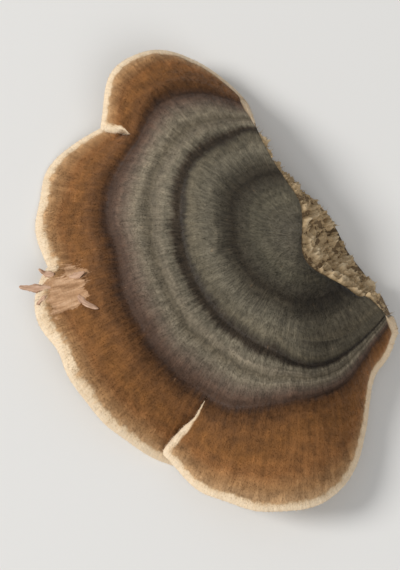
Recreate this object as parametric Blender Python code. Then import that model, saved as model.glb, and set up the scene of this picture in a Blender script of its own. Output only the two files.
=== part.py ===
"""A dried turkey tail bracket that lies on a surface with its zoned upper side up.

Run it with: blender --background --python part.py

The bracket is one thin, arched, lobed fan of leathery flesh. It grew on the wood along a line, thick in the
middle and thin towards both wings, and it broke off there: the slanting scar bites into the fan, and its
foot reaches back under it. Each lobe of the margin starts as a flat grid. A formula lays the grids side by
side as the fan's upper side, they are welded up to where a cleft opens between two lobes, and the sheet is
extruded down to its underside.

Units are metres and degrees, +Z is up, the margin faces -Y and the scar faces +Y. The plan is drawn round
the centre of growth: angles are measured there from -Y and are positive towards +X, and growth runs from
0 at the scar to 1 at the margin. The finished bracket is moved so that its box stands centred on the
origin.
"""

from collections import namedtuple

import bmesh
import bpy
import numpy as np

MM = 0.001

# Plan: the margin's usual distance from the centre of growth
REACH = 17.3 * MM

# The wood's line, as far behind the centre of growth as WOOD_Y, and the bite that the scar takes out of the
# fan there: its middle, half the width that has no ring, its depth and its spread
WOOD_Y = 1.6 * MM
SCAR_X = 1.6 * MM
SCAR_HALF_WIDTH = 3.9 * MM
BITE_DEPTH = 2.1 * MM
BITE_SPREAD = 2.6 * MM
BASE_ENDS_AT = 0.34

# The foot: how much further back than the scar's upper edge it stands, how wide it is, and how far in front
# of the scar the underside stops leaning back
FOOT_BACK = 3.8 * MM
FOOT_SPREAD = 4.2 * MM
FOOT_ENDS_AT = 7.5 * MM

# How far the inner rings reach, angle against share of REACH, and the growth from which rings draw near
# the margin's own outline, then near its lobes
CORE = ((-101, 1.10), (-65, 1.15), (-35, 1.03), (0, 0.99), (35, 1.00), (70, 1.05), (107, 1.00))
MARGIN_SHOWS_FROM = 0.38
MARGIN_SHOWS_POWER = 1.08
LOBES_SHOW_FROM = 0.62

# Distance from the centre of growth where growth is 0, as a share of the margin's, how much more it is
# at the fan's sides, and how fast it goes
BASE_SHARE = 0.20
BASE_SHARE_AT_SIDES = 0.14
BASE_SHARE_FADE = 4.0

# Section: thickness of the fan's flesh, growth against millimetres, and what the base has on top of it
FLESH = ((0.0, 1.40), (0.30, 1.30), (0.45, 1.20), (0.70, 1.00), (1.0, 0.75))
LEAST_FLESH = 0.75 * MM
BASE_FLESH = 4.2 * MM
BASE_FLESH_SPREAD = 3.9 * MM
BASE_FLESH_ENDS_AT = 8.0 * MM

# The edge: how much thinner it is from RIM_STARTS_AT on, how far its middle stands out, and the growths
# between which the fan's sides turn from broken to as round as its margin
RIM_THINNING = 0.30
RIM_STARTS_AT = 0.965
RIM_BULGE = 0.22 * MM
SIDES_ROUND_FROM = 0.34
SIDES_ROUND_BY = 0.60

# Height of the upper side on the fan's middle line, growth against millimetres, how far the shoulders of
# the base lie lower, and the growth from which the margin's own height tells
CREST = ((0.0, 4.9), (0.12, 5.5), (0.26, 5.8), (0.45, 5.3), (0.65, 4.5), (0.82, 3.6), (1.0, 2.5))
SHOULDER_DROP = 1.7 * MM
SHOULDER_SPREAD = 5.0 * MM
SHOULDER_ENDS_AT = 8.0 * MM
MARGIN_TELLS_FROM = 0.15
MARGIN_TELLS_POWER = 1.2

# A lobe of the margin: its points as angle, distance from the centre of growth as a share of REACH, and
# height of the upper edge in millimetres. Its first and last point are the notches beside it
Lobe = namedtuple("Lobe", "points columns")
LOBES = (
    Lobe(((-101, 0.66, 3.2), (-93, 0.86, 4.0), (-82, 0.98, 4.6), (-72, 0.98, 3.9), (-64, 0.90, 3.0)), 14),
    Lobe(((-64, 0.90, 1.5), (-54, 1.01, 0.5), (-43, 1.03, -0.2), (-33, 1.01, 0.9), (-26, 0.95, 1.9)), 14),
    Lobe(
        (
            (-26, 0.95, 1.9),
            (-18, 1.02, 2.5),
            (-4, 0.995, 3.2),
            (10, 0.99, 2.6),
            (21, 0.98, 1.2),
            (29.5, 0.935, 0.5),
        ),
        20,
    ),
    Lobe(
        (
            (29.5, 0.935, 2.2),
            (40, 1.00, 2.5),
            (51, 1.015, 3.1),
            (61, 0.985, 3.0),
            (70, 0.92, 2.5),
            (79, 0.745, 2.3),
            (87, 0.585, 2.8),
            (97, 0.54, 3.4),
            (107, 0.50, 3.8),
        ),
        28,
    ),
)

# A cleft between two lobes: its angle, the growth at which it opens, and how many degrees each of its
# edges passes the other at the margin. Its edges first part by CLEFT_GAP degrees, then one rises over the
# other, and only then do they pass each other. The last three values are shares of the cleft's length
Cleft = namedtuple("Cleft", "angle opens overlap")
CLEFTS = (Cleft(-64, 0.80, 1.4), Cleft(29.5, 0.70, 2.0))
CLEFT_WIDTH = 9.0
CLEFT_GAP = 0.40
CLEFT_PARTED_BY = 0.05
CLEFT_RISEN_BY = 0.55
CLEFT_PASSES_FROM = 0.42

# How many degrees the lobes are smoothed by, where the rings no longer follow them
LOBE_BLUR = 7.0

# Growth rings in relief: distance from the centre of growth as a share of the margin's, half the ring's
# width in the same measure, and its height in millimetres. They fade towards the fan's sides, and where
# the margin comes so near that it crowds them
RINGS = (
    (0.260, 0.022, -0.12),
    (0.310, 0.024, 0.10),
    (0.360, 0.026, 0.08),
    (0.435, 0.022, -0.24),
    (0.500, 0.026, 0.12),
    (0.553, 0.016, -0.08),
    (0.610, 0.028, 0.12),
    (0.705, 0.026, -0.28),
    (0.775, 0.030, 0.14),
    (0.880, 0.030, -0.08),
    (0.960, 0.025, 0.06),
)
UNDERSIDE_RELIEF = 0.5
RELIEF_FADES_FROM_SIDE = 0.16
RINGS_CROWDED_AT = 0.50
RINGS_FREE_AT = 0.92

# Rows of each grid, dense where a ring needs a row on its crest or in its bottom
ROWS_OF_BASE = (0.0, 0.05, 0.10, 0.15, 0.20, 0.25, 0.30)
ROWS_OF_RINGS = (0.355, 0.395, 0.435, 0.47, 0.51, 0.553, 0.60, 0.645, 0.68, 0.71, 0.745)
ROWS_OF_MARGIN = (0.79, 0.84, 0.89, 0.945, 1.0)
ROWS = ROWS_OF_BASE + ROWS_OF_RINGS + ROWS_OF_MARGIN

# Waves of the sheet: size, number in a full turn and phase, up and down and in and out at the margin
RUFFLES = ((0.16 * MM, 7, 40), (0.09 * MM, 17, 110))
CRENULATION = ((0.10 * MM, 13, 20), (0.06 * MM, 29, 75))

WELD = 0.001 * MM
SHARP_ANGLE = 40.0

FLESH_COLOUR = (0.23, 0.16, 0.10, 1.0)
FLESH_ROUGHNESS = 0.85


def smooth_step(low, high, value):
    """0 below low, 1 above high, and a smooth ramp between them."""
    share = np.clip((value - low) / (high - low), 0.0, 1.0)
    return share * share * (3.0 - 2.0 * share)


def bell(value, spread):
    """1 at 0, and falling smoothly to 0 on both sides."""
    return np.exp(-((value / spread) ** 2))


def through_points(places, values, at):
    """A smooth curve through a few points, read at the given places."""
    places = np.asarray(places, float)
    values = np.asarray(values, float)
    slopes = np.gradient(values, places)
    index = np.clip(np.searchsorted(places, at, side="right") - 1, 0, len(places) - 2)
    width = places[index + 1] - places[index]
    u = (at - places[index]) / width
    rise = values[index + 1] - values[index]
    start_bend = slopes[index] * width - rise
    end_bend = rise - slopes[index + 1] * width
    return values[index] + rise * u + u * (1 - u) * ((1 - u) * start_bend + u * end_bend)


def lobe_reach(lobe, angle):
    """Distance of the margin from the centre of growth."""
    angles, reaches, _ = zip(*lobe.points)
    return REACH * through_points(angles, reaches, angle)


def lobe_height(lobe, angle):
    """Height of the margin's upper edge."""
    angles, _, heights = zip(*lobe.points)
    return MM * through_points(angles, heights, angle)


def blurred(of_lobe):
    """A value of the margin with its notches smoothed away, as a function of the angle."""
    step = 0.5
    angles = np.arange(LOBES[0].points[0][0], LOBES[-1].points[-1][0] + step, step)
    values = np.empty_like(angles)
    for lobe in LOBES:
        inside = angles >= lobe.points[0][0]
        values[inside] = of_lobe(lobe, angles[inside])
    reach = int(3 * LOBE_BLUR / step)
    kernel = np.exp(-0.5 * (np.arange(-reach, reach + 1) * step / LOBE_BLUR) ** 2)
    smooth = np.convolve(np.pad(values, reach, mode="edge"), kernel / kernel.sum(), mode="valid")
    return lambda angle: np.interp(angle, angles, smooth)


smooth_reach = blurred(lobe_reach)
smooth_height = blurred(lobe_height)


def cleft_at(lobe, angle, growth):
    """How open the clefts beside a point are, and how many degrees it moves over or under its neighbour."""
    openness = np.zeros_like(growth)
    shift = np.zeros_like(growth)
    for cleft in CLEFTS:
        if cleft.angle not in (lobe.points[0][0], lobe.points[-1][0]):
            continue
        away = np.abs(angle - cleft.angle) / CLEFT_WIDTH
        near = np.clip(1.0 - away, 0.0, 1.0) ** 2
        along = (growth - cleft.opens) / (1.0 - cleft.opens)
        risen = smooth_step(0.0, CLEFT_RISEN_BY, along)
        openness = np.maximum(openness, np.exp(-away * away) * risen)
        passing = cleft.overlap * smooth_step(CLEFT_PASSES_FROM, 1.0, along)
        parted = smooth_step(0.0, CLEFT_PARTED_BY, along)
        gap = CLEFT_GAP * parted * (1.0 - smooth_step(CLEFT_PASSES_FROM, CLEFT_RISEN_BY, along))
        side = 1.0 if cleft.angle == lobe.points[-1][0] else -1.0
        shift = shift + side * near * (passing - gap)
    return openness, shift


def across_fan(angle):
    """-1 at the fan's first side, 0 in its middle and 1 at its last side."""
    first = LOBES[0].points[0][0]
    last = LOBES[-1].points[-1][0]
    return (angle - first) / (last - first) * 2.0 - 1.0


def radius_share(angle, growth):
    """Distance from the centre of growth as a share of the margin's."""
    base_share = BASE_SHARE + BASE_SHARE_AT_SIDES * across_fan(angle) ** 2
    return growth + base_share * (1.0 - growth) ** BASE_SHARE_FADE


def core_reach(angle):
    """Distance from the centre of growth that the margin would have if it followed the inner rings."""
    return REACH * through_points(*zip(*CORE), angle)


def scar_edge(x):
    """Place of the scar's upper edge: the wood's line with the bite in it."""
    return WOOD_Y - BITE_DEPTH * bell(x - SCAR_X, BITE_SPREAD)


def ring_radius(lobe, angle, growth):
    """Distance of a ring from the centre of growth: round near it, and like the margin further out."""
    scallop = smooth_step(LOBES_SHOW_FROM, 1.0, growth)
    margin = smooth_reach(angle) * (1 - scallop) + lobe_reach(lobe, angle) * scallop
    for size, waves, phase in CRENULATION:
        margin = margin + size * np.sin(np.radians(waves * angle + phase)) * growth**3
    core = core_reach(angle)
    outer = np.clip((growth - MARGIN_SHOWS_FROM) / (1.0 - MARGIN_SHOWS_FROM), 0.0, 1.0)
    return core * radius_share(angle, growth) - (core - margin) * outer**MARGIN_SHOWS_POWER


def fan_plan(lobe, angle, growth):
    """Plan of the upper side at an angle and a growth."""
    radius = ring_radius(lobe, angle, growth)
    _, shift = cleft_at(lobe, angle, growth)
    turned = np.radians(angle + shift)
    out_of_base = smooth_step(0.0, BASE_ENDS_AT, growth)
    scar_x = SCAR_X + across_fan(angle) * SCAR_HALF_WIDTH
    x = scar_x * (1 - out_of_base) + radius * np.sin(turned) * out_of_base
    y = scar_edge(scar_x) * (1 - out_of_base) - radius * np.cos(turned) * out_of_base
    return x, y


def near_scar(x, y, ends_at):
    """1 at the scar's upper edge and 0 from a distance in front of it."""
    return 1.0 - smooth_step(0.0, ends_at, scar_edge(x) - y)


def fan_height(lobe, angle, growth, relief):
    """Height of the upper side, with its rings at full relief or less."""
    openness, _ = cleft_at(lobe, angle, growth)
    rim = smooth_height(angle) * (1 - openness) + lobe_height(lobe, angle) * openness
    crest = through_points(*zip(*CREST), growth) * MM
    margin_tells = smooth_step(MARGIN_TELLS_FROM, 1.0, growth) ** MARGIN_TELLS_POWER
    z = crest + (rim - CREST[-1][1] * MM) * margin_tells
    x, y = fan_plan(lobe, angle, growth)
    z = z - SHOULDER_DROP * (1.0 - bell(x - SCAR_X, SHOULDER_SPREAD)) * near_scar(x, y, SHOULDER_ENDS_AT)
    for size, waves, phase in RUFFLES:
        z = z + size * np.sin(np.radians(waves * angle + phase)) * growth**2
    share = radius_share(angle, growth)
    relief = relief * smooth_step(0.0, RELIEF_FADES_FROM_SIDE, 1.0 - np.abs(across_fan(angle)))
    relief = relief * smooth_step(RINGS_CROWDED_AT, RINGS_FREE_AT, smooth_reach(angle) / core_reach(angle))
    for middle, half_width, height in RINGS:
        z = z + relief * height * MM * bell(share - middle, half_width)
    return z


def flesh_thickness(growth, x, y):
    """Thickness of the flesh: thin, thinnest at its rim, and thick over the foot."""
    fan = np.maximum(through_points(*zip(*FLESH), growth) * MM, LEAST_FLESH)
    base = BASE_FLESH * bell(x - SCAR_X, BASE_FLESH_SPREAD) * near_scar(x, y, BASE_FLESH_ENDS_AT)
    return fan * (1.0 - RIM_THINNING * smooth_step(RIM_STARTS_AT, 1.0, growth)) + base


def upper_point(lobe, angle, growth):
    x, y = fan_plan(lobe, angle, growth)
    return np.stack([x, y, fan_height(lobe, angle, growth, 1.0)], axis=-1)


def under_point(lobe, angle, growth):
    """The underside, flat where it would go below the surface that the bracket lies on."""
    x, y = fan_plan(lobe, angle, growth)
    z = fan_height(lobe, angle, growth, UNDERSIDE_RELIEF) - flesh_thickness(growth, x, y)
    back = FOOT_BACK * bell(x - SCAR_X, FOOT_SPREAD) * near_scar(x, y, FOOT_ENDS_AT)
    return np.stack([x, y + back, np.maximum(z, 0.0)], axis=-1)


def bulge_share(lobe, angle, growth):
    """How round the edge is: 1 along the margin, and down to 0 at the scar and at a cleft's inner end."""
    openness, _ = cleft_at(lobe, angle, growth)
    in_cleft = np.zeros(len(angle), bool)
    for cleft in CLEFTS:
        in_cleft |= np.isclose(angle, cleft.angle, atol=0.01)
    return np.where(in_cleft, openness, smooth_step(SIDES_ROUND_FROM, SIDES_ROUND_BY, growth))


def add_lobe(sheet, lobe, under, bulge):
    """Adds one lobe's grid to the sheet, all its squares split alike."""
    grid = bmesh.ops.create_grid(sheet, x_segments=lobe.columns, y_segments=len(ROWS) - 1, size=1.0)
    points = grid["verts"]
    flat = (np.array([point.co[:2] for point in points]) + 1.0) / 2.0
    angles = [point[0] for point in lobe.points]
    angle = angles[0] + (angles[-1] - angles[0]) * flat[:, 0]
    growth = np.interp(flat[:, 1], np.linspace(0.0, 1.0, len(ROWS)), ROWS)
    above = upper_point(lobe, angle, growth)
    below = under_point(lobe, angle, growth)
    roundness = bulge_share(lobe, angle, growth)
    for index, point in enumerate(points):
        point.co = above[index]
        point[under] = below[index]
        point[bulge] = roundness[index]


def points_of(geometry):
    return {item for item in geometry if isinstance(item, bmesh.types.BMVert)}


def make_bracket():
    """The whole fan: a sheet of welded grids, extruded to its underside, with a rounded edge."""
    sheet = bmesh.new()
    under = sheet.verts.layers.float_vector.new("under")
    bulge = sheet.verts.layers.float.new("bulge")
    for lobe in LOBES:
        add_lobe(sheet, lobe, under, bulge)
    bmesh.ops.remove_doubles(sheet, verts=sheet.verts, dist=WELD)
    bmesh.ops.triangulate(sheet, faces=sheet.faces, quad_method="FIXED")

    grown = bmesh.ops.extrude_face_region(sheet, geom=sheet.faces[:], use_keep_orig=True)
    lower = points_of(grown["geom"])
    for point in lower:
        point.co = point[under]
    uprights = [edge for edge in sheet.edges if len(lower.intersection(edge.verts)) == 1]
    rim = bmesh.ops.subdivide_edges(sheet, edges=uprights, cuts=1)
    bmesh.ops.recalc_face_normals(sheet, faces=sheet.faces)
    sheet.normal_update()
    for point in points_of(rim["geom_inner"]):
        point.co += point.normal * point[bulge] * RIM_BULGE
    bmesh.ops.triangulate(sheet, faces=sheet.faces, quad_method="SHORT_EDGE")
    plan = np.array([point.co[:2] for point in sheet.verts])
    middle = (plan.min(axis=0) + plan.max(axis=0)) / 2.0
    bmesh.ops.translate(sheet, verts=sheet.verts, vec=(-middle[0], -middle[1], 0.0))

    mesh = bpy.data.meshes.new("turkey_tail_bracket")
    sheet.to_mesh(mesh)
    sheet.free()
    mesh.shade_smooth()
    mesh.set_sharp_from_angle(angle=np.radians(SHARP_ANGLE))
    return bpy.data.objects.new("turkey_tail_bracket", mesh)


def dried_flesh():
    material = bpy.data.materials.new("dried_flesh")
    material.use_nodes = True
    shader = material.node_tree.nodes["Principled BSDF"]
    shader.inputs["Base Color"].default_value = FLESH_COLOUR
    shader.inputs["Roughness"].default_value = FLESH_ROUGHNESS
    shader.inputs["Metallic"].default_value = 0.0
    return material


def main():
    for old in list(bpy.data.objects):
        bpy.data.objects.remove(old)
    collection = bpy.data.collections.new("turkey_tail")
    bpy.context.scene.collection.children.link(collection)
    bracket = make_bracket()
    bracket.data.materials.append(dried_flesh())
    collection.objects.link(bracket)


main()
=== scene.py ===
"""The looks of a dried turkey tail bracket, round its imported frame.

The upper side, the rounded edge and the pored underside are one closed fine mesh, made by the same
formulas as the CAD solid that it stands for, with finer relief. The felt of hairs on the zones, the down
round the margin, the scar's broken flesh and torn fibres, and the shreds at the torn margin are pieces of
their own.
"""

import math
from collections import namedtuple

import bpy
import numpy as np
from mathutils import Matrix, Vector
from mathutils.kdtree import KDTree


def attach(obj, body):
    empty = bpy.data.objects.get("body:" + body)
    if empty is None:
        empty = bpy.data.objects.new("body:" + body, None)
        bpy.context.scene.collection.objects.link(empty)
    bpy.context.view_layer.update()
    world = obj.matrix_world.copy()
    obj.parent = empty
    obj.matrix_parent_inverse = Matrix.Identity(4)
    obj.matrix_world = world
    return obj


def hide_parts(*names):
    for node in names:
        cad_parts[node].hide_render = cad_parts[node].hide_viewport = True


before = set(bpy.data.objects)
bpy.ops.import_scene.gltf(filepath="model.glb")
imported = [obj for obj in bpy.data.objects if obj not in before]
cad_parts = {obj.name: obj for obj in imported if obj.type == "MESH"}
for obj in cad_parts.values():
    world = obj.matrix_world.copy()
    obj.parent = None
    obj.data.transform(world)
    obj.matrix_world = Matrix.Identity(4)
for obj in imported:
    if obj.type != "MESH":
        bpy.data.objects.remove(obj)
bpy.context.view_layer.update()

MM = 0.001
BODY = "root"
NODE = "turkey_tail_bracket"

# Where the CAD model has the centre of growth, from which angles and radii are measured
GROWTH_CENTRE = np.array([0.841 * MM, 7.014 * MM, 0.0])

# The CAD model's plan, section and margin, in its own terms
REACH = 17.3 * MM
WOOD_Y = 1.6 * MM
SCAR_X = 1.6 * MM
SCAR_HALF_WIDTH = 3.9 * MM
BITE_DEPTH = 2.1 * MM
BITE_SPREAD = 2.6 * MM
BASE_ENDS_AT = 0.34
FOOT_BACK = 3.8 * MM
FOOT_SPREAD = 4.2 * MM
FOOT_ENDS_AT = 7.5 * MM
CORE = ((-101, 1.10), (-65, 1.15), (-35, 1.03), (0, 0.99), (35, 1.00), (70, 1.05), (107, 1.00))
MARGIN_SHOWS_FROM = 0.38
MARGIN_SHOWS_POWER = 1.08
LOBES_SHOW_FROM = 0.62
BASE_SHARE = 0.20
BASE_SHARE_AT_SIDES = 0.14
BASE_SHARE_FADE = 4.0
FLESH = ((0.0, 1.40), (0.30, 1.30), (0.45, 1.20), (0.70, 1.00), (1.0, 0.75))
LEAST_FLESH = 0.75 * MM
BASE_FLESH = 4.2 * MM
BASE_FLESH_SPREAD = 3.9 * MM
BASE_FLESH_ENDS_AT = 8.0 * MM
RIM_THINNING = 0.30
RIM_STARTS_AT = 0.965
RIM_BULGE = 0.22 * MM
SIDES_ROUND_FROM = 0.34
SIDES_ROUND_BY = 0.60
CREST = ((0.0, 4.9), (0.12, 5.5), (0.26, 5.8), (0.45, 5.3), (0.65, 4.5), (0.82, 3.6), (1.0, 2.5))
SHOULDER_DROP = 1.7 * MM
SHOULDER_SPREAD = 5.0 * MM
SHOULDER_ENDS_AT = 8.0 * MM
MARGIN_TELLS_FROM = 0.15
MARGIN_TELLS_POWER = 1.2

# A lobe of the margin: its points as angle, share of REACH and height in millimetres, and its columns
Lobe = namedtuple("Lobe", "points columns")
LOBES = (
    Lobe(((-101, 0.66, 3.2), (-93, 0.86, 4.0), (-82, 0.98, 4.6), (-72, 0.98, 3.9), (-64, 0.90, 3.0)), 62),
    Lobe(((-64, 0.90, 1.5), (-54, 1.01, 0.5), (-43, 1.03, -0.2), (-33, 1.01, 0.9), (-26, 0.95, 1.9)), 66),
    Lobe(
        (
            (-26, 0.95, 1.9), (-18, 1.02, 2.5), (-4, 0.995, 3.2),
            (10, 0.99, 2.6), (21, 0.98, 1.2), (29.5, 0.935, 0.5),
        ),
        102,
    ),
    Lobe(
        (
            (29.5, 0.935, 2.2), (40, 1.00, 2.5), (51, 1.015, 3.1), (61, 0.985, 3.0), (70, 0.92, 2.5),
            (79, 0.745, 2.3), (87, 0.585, 2.8), (97, 0.54, 3.4), (107, 0.50, 3.8),
        ),
        136,
    ),
)
ROWS = 114
ROWS_CROWD = 1.25
RIM_ROWS = 14

# How the edge rounds off above and below, and how far in from the margin, in millimetres
EDGE_ROUNDING = (0.11, 0.08, 0.26)

# A cleft between two lobes: its angle, the growth at which it opens and its overlap in degrees. It gapes
# less than the CAD model's, whose solids have to keep clear. The shares below run from its inner end to the
# margin: where its lobes are parted, risen and passing each other, and where their edges round off
Cleft = namedtuple("Cleft", "angle opens overlap")
CLEFTS = (Cleft(-64, 0.80, 1.4), Cleft(29.5, 0.70, 2.0))
CLEFT_WIDTH = 9.0
CLEFT_GAP = 0.08
CLEFT_PARTED_BY = 0.05
CLEFT_RISEN_BY = 0.50
CLEFT_PASSES_FROM = 0.28
CLEFT_ROUNDS_OVER = (0.30, 0.60)
LOBE_BLUR = 7.0

# Growth rings: distance as a share of the margin's, half width in the same measure, height in millimetres
RINGS = (
    (0.260, 0.022, -0.12), (0.310, 0.024, 0.10), (0.360, 0.026, 0.08), (0.435, 0.022, -0.24),
    (0.500, 0.026, 0.12), (0.553, 0.016, -0.08), (0.610, 0.028, 0.12), (0.705, 0.026, -0.28),
    (0.775, 0.030, 0.14), (0.880, 0.030, -0.08), (0.960, 0.025, 0.06),
)
BARE_RING_HEIGHT = -0.1
UNDERSIDE_RELIEF = 0.5
RELIEF_FADES_FROM_SIDE = 0.16
RINGS_CROWDED_AT = 0.50
RINGS_FREE_AT = 0.92
RUFFLES = ((0.16 * MM, 7, 40), (0.09 * MM, 17, 110))
CRENULATION = ((0.10 * MM, 13, 20), (0.06 * MM, 29, 75))

# How far rings lie further in, as a share of the margin's distance, by angle. The outer rings draw in
# behind the last lobe, and the inner ones spread towards its end of the base
Drift = namedtuple("Drift", "middle spread by_angle")
OUTER_DRIFT = (
    (-101, -0.020), (-60, -0.045), (-40, -0.020), (-24, 0.020), (0, 0.014), (20, 0.012),
    (38, 0.014), (52, 0.106), (66, 0.146), (82, 0.060), (107, 0.0),
)
INNER_DRIFT = (
    (-101, 0.0), (-20, 0.0), (20, 0.0), (38, -0.005),
    (52, -0.030), (66, -0.100), (82, -0.090), (107, -0.04),
)
DRIFTS = (Drift(0.70, 0.145, OUTER_DRIFT), Drift(0.40, 0.14, INNER_DRIFT))

# A layer of noise: its size, its spans in the two directions that it is read in, and its seed. On the fan
# these are across and along the growth, in millimetres
Layer = namedtuple("Layer", "size wide long seed")

# Fine relief of the upper side, in millimetres
FIBRILS = (Layer(0.018, 0.20, 2.2, 10), Layer(0.012, 0.11, 1.1, 11))
FELT_RELIEF = (Layer(0.030, 0.60, 0.70, 14), Layer(0.016, 0.28, 0.30, 15))
WRINKLES = (Layer(0.060, 1.6, 7.0, 18), Layer(0.035, 0.8, 4.0, 19))
FINE_RINGS = (0.014, 0.026)
FINE_RINGS_WARP = (Layer(0.010, 2.6, 3.0, 22), Layer(0.004, 0.9, 2.0, 23))
RELIEF_GROWS_OVER = 0.06
ARC_AT = 9.0

# How far the zones' colours stray from the rings, and between which shares
ZONES_STRAY = (Layer(0.007, 0.14, 1.2, 61), Layer(0.012, 1.5, 2.5, 62))
STRAYING_STARTS = (0.15, 0.4)
STRAYING_ENDS = (0.9, 1.0)

# The patch of the left lobe where the skin is rubbed and torn down to the pale flesh: angle, distance as a
# share of the margin's, half sizes of both, and depth in millimetres. Its border is frayed
TORN = (-17.5, 0.900, 8.5, 0.075, 0.10)
TORN_LEAN = 0.35
TORN_FRAYS = (Layer(0.42, 0.50, 1.3, 31), Layer(0.22, 0.22, 0.7, 32), Layer(0.16, 0.09, 0.35, 34))
TORN_BORDER = (0.45, 1.15)
TORN_FLOOR = Layer(0.5, 0.3, 0.3, 33)

# The margin's cream line: its width in millimetres, by angle, and where it fades towards the wood
CREAM = (
    (-101, 0.35), (-64, 0.40), (-26, 0.75), (-6, 0.80), (14, 0.62), (29, 0.42), (60, 0.42), (107, 0.30),
)
CREAM_FROM = 0.36
CREAM_FULL_AT = 0.80
CREAM_IN_CLEFT = 0.35
CREAM_TAPERS_OVER = 0.10
FLESH_TONE = 0.78

# Shreds of torn skin and flesh. Each has an angle, a distance as a share of the margin's, a heading in
# degrees from the growth direction, a length, width and lift in millimetres, and how much it curls
Shred = namedtuple("Shred", "angle share heading length width lift curl")
SHREDS = (
    Shred(-20.4, 0.955, -2, 2.2, 0.60, 0.10, -0.14),
    Shred(-23.2, 0.960, -20, 1.2, 0.46, 0.12, -0.20),
    Shred(-18.6, 0.965, 14, 0.9, 0.34, 0.16, 0.25),
    Shred(-16.4, 0.850, 112, 1.8, 0.46, 0.16, 0.30),
    Shred(-21.5, 0.890, 168, 1.1, 0.50, 0.26, 0.30),
)
# Their thickness and how deep they start, in millimetres, and how they flutter, twist, narrow and fray
SHRED_THICKNESS = 0.17
SHRED_ROOT = 0.04
SHRED_FLUTTER = Layer(0.05, 0.20, 1.0, 115)
SHRED_TWIST = (0.5, 4.0)
SHRED_NARROWS_TO = 0.60
SHRED_RAGGED = Layer(0.28, 1.0 / 6.0, 1.0, 117)
SHRED_ROUGH = 0.07

# The underside: pitch and depth of its pores in millimetres, and the barren strip along the margin
PORE_PITCH = 0.30
PORE_ROW = 0.26
PORE_DEPTH = 0.085
PORE_JITTER = 0.22
PORE_WALL = (0.16, 0.44)
PORES_START = (0.03, 0.10)
BARREN_STRIP = 0.85
BARREN_STRIP_FADES = 0.25
UNDERSIDE_WAVES = Layer(0.05, 1.3, 1.6, 41)
UNDERSIDE_WAVES_START = (0.1, 0.4)

# The scar's broken flesh: its points along and down the face, how far up the wings it goes, and its crumbs
# as size and length across and down, in millimetres
CRUST_ALONG = 330
CRUST_DOWN = 110
CRUST_TO_GROWTH = 0.50
CRUST_FADES_OVER = 1.8
CRUST_DEPTH = 0.25
CRUMBS = (
    Layer(0.26, 0.95, 1.25, 90), Layer(0.17, 0.40, 0.50, 91),
    Layer(0.10, 0.19, 0.22, 92), Layer(0.05, 0.10, 0.10, 93),
)
CRUMB_LEAN = 0.35
CRUST_FIBRES = (Layer(0.10, 0.16, 1.3, 100), Layer(0.06, 0.09, 0.7, 101))
CRUST_FIBRES_WANDER = Layer(0.25, 1.5, 1.5, 98)
CRUST_FIBRES_LEAN = 0.12
CRUST_PITS = Layer(0.30, 0.55, 0.55, 104)
CRUST_PITS_FROM = (0.62, 0.95)
CRUST_PROUD = 0.08
CRUST_SUNK = 0.05
CRUST_BORDER = (-0.10, 0.30)
CRUST_BORDER_FRAYS = Layer(0.10, 0.3, 0.3, 96)
CRUST_END_FRAYS = Layer(0.5, 0.5, 0.5, 97)

# Hairs and fibres: how many, their length and width in millimetres, how much they stray, and how deep in the
# flesh they start. The felt is two pieces with so many hairs each
Hairs = namedtuple("Hairs", "count length width stray root")
FELT = Hairs(45000, (0.16, 0.46), 0.011, 0.28, 0.01)
FUZZ = Hairs(7000, (0.05, 0.17), 0.010, 0.40, 0.02)
FIBRES = Hairs(420, (0.15, 0.60), (0.015, 0.045), 0.55, 0.03)
FELT_RISE = (0.10, 0.42)
FELT_CLUMPS = Layer(0.45, 0.35, 0.45, 71)
FELTS_MEET_AT = 0.66
NEEDLE_SIDE = (0.31, 0.17, 1.0)
OFF_FLOOR = 0.03

# Colour of the upper side: distance from the centre of growth as a share of the margin's, and colour
ZONES = (
    (0.060, "#696151"), (0.160, "#645d4c"), (0.215, "#4b4437"), (0.250, "#352d21"), (0.290, "#474033"),
    (0.345, "#716958"), (0.395, "#6a614f"), (0.428, "#31281d"), (0.458, "#3f3427"), (0.490, "#766d5b"),
    (0.522, "#796e5c"), (0.553, "#605645"), (0.590, "#7e7360"), (0.632, "#6c5d4e"), (0.672, "#5d483a"),
    (0.712, "#3f2919"), (0.745, "#57371a"), (0.800, "#704925"), (0.860, "#7c5127"), (0.905, "#875a31"),
    (0.950, "#9c744b"), (0.990, "#b8946c"),
)
# The inner zones are darker towards the last end of the base: partly their own colour, and partly painted
# shade where the fan drops away. Between which places across the growth, in millimetres, up to which zones,
# and what the colour is multiplied by
DARKENING_AND_SHADE_ACROSS = (6.3, 11.0)
DARKENING_AND_SHADE_ZONES = ((0.40, 1.0), (0.60, 0.0))
DARKENING_AND_SHADE_COLOUR = (0.50, 0.48, 0.45, 1.0)
CREAM_LINE = ((0.0, "#e9d2b2"), (0.55, "#dcc19d"), (1.0, "#b8966f"))
TORN_COLOURS = ((0.30, "#8f6947"), (0.50, "#b68d68"), (0.70, "#d4ae8b"))
SHRED_COLOURS = ((0.30, "#9c7961"), (0.50, "#bd987d"), (0.72, "#d2b197"))
# The scar's flesh from dark to pale: its own tan, with painted shade at the dark end for its crevices and
# border
SCAR_COLOURS_AND_SHADE = ((0.0, "#5a4630"), (0.26, "#846c4d"), (0.46, "#ab9069"), (0.70, "#c6ac86"), (1.0, "#dfcba8"))
# The underside from a pore's wall to its middle: the darker middles are painted shade in the pore holes
PORE_COLOURS_AND_SHADE = ((0.0, "#d9bd93"), (0.5, "#c29f72"), (1.0, "#7d5c3b"))
BARREN_COLOUR = "#e3cba5"

# Roughness of the upper side: the dark lines are bare and satin, the rest is velvet
SATIN = (
    (0.400, 0.80), (0.430, 0.50), (0.462, 0.50), (0.490, 0.80), (0.690, 0.80), (0.712, 0.55), (0.745, 0.82),
)

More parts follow.
